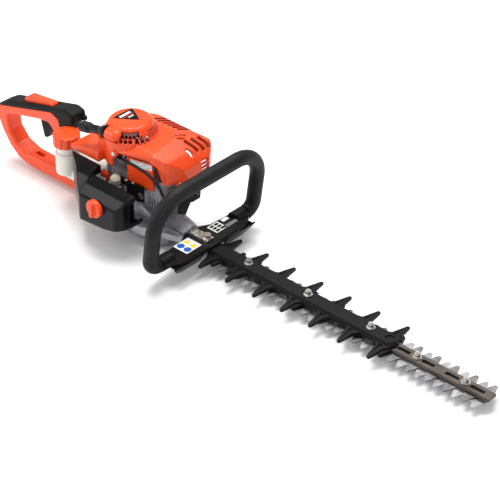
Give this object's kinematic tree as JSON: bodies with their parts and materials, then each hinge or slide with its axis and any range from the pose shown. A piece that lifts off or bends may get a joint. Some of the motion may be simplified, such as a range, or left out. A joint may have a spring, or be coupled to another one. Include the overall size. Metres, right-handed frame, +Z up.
{
  "type": "hedge trimmer",
  "caption": "Petrol hedge trimmer with a long double-sided reciprocating blade, loop front handle and closed rear handle with trigger.",
  "frame": {"origin": "on the crankshaft axis, in the flat underside of the gear case cover", "axes": "+X along the blade towards its tip, +Y to the operator's left, +Z up"},
  "size_m": [0.9118, 0.23, 0.17],
  "materials": {
    "air_filter_base": "moulded",
    "air_filter_cover": "gloss",
    "air_filter_element": "open foam",
    "blade_bolts": "zinc plated",
    "blade_nuts": "zinc plated",
    "cam_gear": "hardened",
    "carburettor": "die cast",
    "case_screws": "zinc plated",
    "choke_lever": "moulded",
    "clamp_strap": "zinc plated",
    "clutch_drum": "turned",
    "clutch_shoes": "sintered",
    "comb": "satin",
    "con_rod": "forged",
    "cover_knob": "satin",
    "crank_bearings": "ground",
    "crankcase_lower": "die cast",
    "crankcase_upper": "die cast",
    "crankshaft": "ground",
    "cylinder": "die cast",
    "cylinder_baffle": "satin",
    "engine_cover": "satin",
    "flywheel": "die cast",
    "front_handle_sleeve": "matte foam",
    "front_handle_tube": "powder coat",
    "fuel_cap": "satin",
    "fuel_line": "matte",
    "fuel_tank": "translucent",
    "gear_case": "die cast",
    "gear_case_cover": "die cast",
    "grip_shell": "soft",
    "guide_bar": "dull",
    "hand_guard": "gloss",
    "handle_bracket": "semi-gloss",
    "handle_frame": "satin",
    "ignition_coil": "moulded",
    "ignition_lead": "matte",
    "intake_insulator": "moulded",
    "lockout_lever": "satin",
    "lower_blade": "ground",
    "mount_bolts": "zinc plated",
    "muffler": "heat stained",
    "muffler_guard": "moulded",
    "piston": "turned",
    "piston_rings": "ground",
    "pivot_pins": "ground",
    "plug_boot": "matte",
    "purge_bulb": "translucent",
    "recoil_spring": "blued",
    "rubber_mounts": "matte",
    "spark_plug": "plated",
    "starter_grip": "satin",
    "starter_pulley": "moulded",
    "stop_switch": "moulded",
    "strap_bolts": "zinc plated",
    "throttle_arm": "zinc plated",
    "throttle_cable": "matte",
    "throttle_trigger": "moulded",
    "upper_blade": "ground",
    "wound_rope": "braided"
  },
  "bodies": {
    "frame": {"air_filter_base": "air_filter_base", "air_filter_cover": "air_filter_cover", "air_filter_element": "air_filter_element", "blade_bolts": "blade_bolts", "blade_nuts": "blade_nuts", "carburettor": "carburettor", "case_screws": "case_screws", "clamp_strap": "clamp_strap", "comb": "comb", "crank_bearings": "crank_bearings", "crankcase_lower": "crankcase_lower", "crankcase_upper": "crankcase_upper", "cylinder": "cylinder", "cylinder_baffle": "cylinder_baffle", "engine_cover": "engine_cover", "front_handle_sleeve": "front_handle_sleeve", "front_handle_tube": "front_handle_tube", "fuel_line": "fuel_line", "fuel_tank": "fuel_tank", "gear_case": "gear_case", "gear_case_cover": "gear_case_cover", "grip_shell": "grip_shell", "guide_bar": "guide_bar", "hand_guard": "hand_guard", "handle_bracket": "handle_bracket", "handle_frame": "handle_frame", "ignition_coil": "ignition_coil", "ignition_lead": "ignition_lead", "intake_insulator": "intake_insulator", "mount_bolts": "mount_bolts", "muffler": "muffler", "muffler_guard": "muffler_guard", "pivot_pins": "pivot_pins", "plug_boot": "plug_boot", "recoil_spring": "recoil_spring", "rubber_mounts": "rubber_mounts", "spark_plug": "spark_plug", "strap_bolts": "strap_bolts", "throttle_cable": "throttle_cable"},
    "crank": {"crankshaft": "crankshaft", "flywheel": "flywheel", "clutch_shoes": "clutch_shoes"},
    "cam": {"cam_gear": "cam_gear"},
    "drum": {"clutch_drum": "clutch_drum"},
    "upper_cutter": {"upper_blade": "upper_blade"},
    "lower_cutter": {"lower_blade": "lower_blade"},
    "piston_set": {"piston": "piston", "piston_rings": "piston_rings"},
    "rod": {"con_rod": "con_rod"},
    "pull_grip": {"starter_grip": "starter_grip"},
    "pulley": {"starter_pulley": "starter_pulley", "wound_rope": "wound_rope"},
    "trigger": {"throttle_trigger": "throttle_trigger"},
    "throttle": {"throttle_arm": "throttle_arm"},
    "lockout": {"lockout_lever": "lockout_lever"},
    "switch": {"stop_switch": "stop_switch"},
    "choke": {"choke_lever": "choke_lever"},
    "purge": {"purge_bulb": "purge_bulb"},
    "knob": {"cover_knob": "cover_knob"},
    "cap": {"fuel_cap": "fuel_cap"}
  },
  "joints": [
    {"name": "crank_spin", "type": "hinge", "parent": "frame", "child": "crank", "pos_m": [0, 0, 0.1], "axis": [0, 0, 1], "continuous": true},
    {"name": "cam_spin", "type": "hinge", "parent": "frame", "child": "cam", "pos_m": [0.045, 0, 0.02], "axis": [0, 0, 1], "continuous": true},
    {"name": "drum_spin", "type": "hinge", "parent": "frame", "child": "drum", "pos_m": [0, 0, 0.03], "axis": [0, 0, 1], "continuous": true},
    {"name": "upper_stroke", "type": "slide", "parent": "frame", "child": "upper_cutter", "axis": [1, 0, 0], "range_m": [-0.0075, 0.0075]},
    {"name": "lower_stroke", "type": "slide", "parent": "frame", "child": "lower_cutter", "axis": [1, 0, 0], "range_m": [-0.0075, 0.0075]},
    {"name": "piston_stroke", "type": "slide", "parent": "frame", "child": "piston_set", "axis": [1, 0, 0], "range_m": [0, 0.026]},
    {"name": "rod_swing", "type": "hinge", "parent": "piston_set", "child": "rod", "pos_m": [0.025, 0, 0.078], "axis": [0, 0, 1], "range_deg": [-14, 14]},
    {"name": "starter_pull", "type": "slide", "parent": "frame", "child": "pull_grip", "axis": [-0.9781, 0, -0.2079], "range_m": [0, 0.55], "stiffness_N_per_m": 12, "springref_m": -0.2},
    {"name": "pulley_spin", "type": "hinge", "parent": "frame", "child": "pulley", "pos_m": [0, 0, 0.155], "axis": [0, 0, 1], "continuous": true},
    {"name": "trigger_pull", "type": "hinge", "parent": "frame", "child": "trigger", "pos_m": [-0.151, 0, 0.108], "axis": [0, 1, 0], "range_deg": [0, 16], "stiffness_Nm_per_rad": 0.8, "springref_deg": -5.73},
    {"name": "throttle_turn", "type": "hinge", "parent": "frame", "child": "throttle", "pos_m": [0.005, -0.047, 0.058], "axis": [0, 0, -1], "range_deg": [0, 48]},
    {"name": "lockout_press", "type": "hinge", "parent": "frame", "child": "lockout", "pos_m": [-0.163, 0, 0.123], "axis": [0, -1, 0], "range_deg": [0, 7], "stiffness_Nm_per_rad": 1.2, "springref_deg": -5.73},
    {"name": "switch_slide", "type": "slide", "parent": "frame", "child": "switch", "axis": [0, 0, 1], "range_m": [-0.0025, 0.0025]},
    {"name": "choke_swing", "type": "hinge", "parent": "frame", "child": "choke", "pos_m": [-0.005, -0.044, 0.08], "axis": [-1, 0, 0], "range_deg": [0, 38]},
    {"name": "purge_press", "type": "slide", "parent": "frame", "child": "purge", "axis": [0, 0, -1], "range_m": [0, 0.0025], "stiffness_N_per_m": 900, "springref_m": -0.001},
    {"name": "knob_turn", "type": "hinge", "parent": "frame", "child": "knob", "pos_m": [0.017, -0.09, 0.0715], "axis": [0, 1, 0], "continuous": true},
    {"name": "cap_turn", "type": "hinge", "parent": "frame", "child": "cap", "pos_m": [-0.1015, -0.031, 0.105], "axis": [0, 0, 1], "range_deg": [0, 330]}
  ],
  "couplings": [
    {"joint": "drum_spin", "follows": "cam_spin", "ratio": -5},
    {"joint": "lower_stroke", "follows": "upper_stroke", "ratio": -1},
    {"joint": "pulley_spin", "follows": "starter_pull", "rad_per_m": -51.282},
    {"joint": "throttle_turn", "follows": "trigger_pull", "ratio": 3}
  ]
}
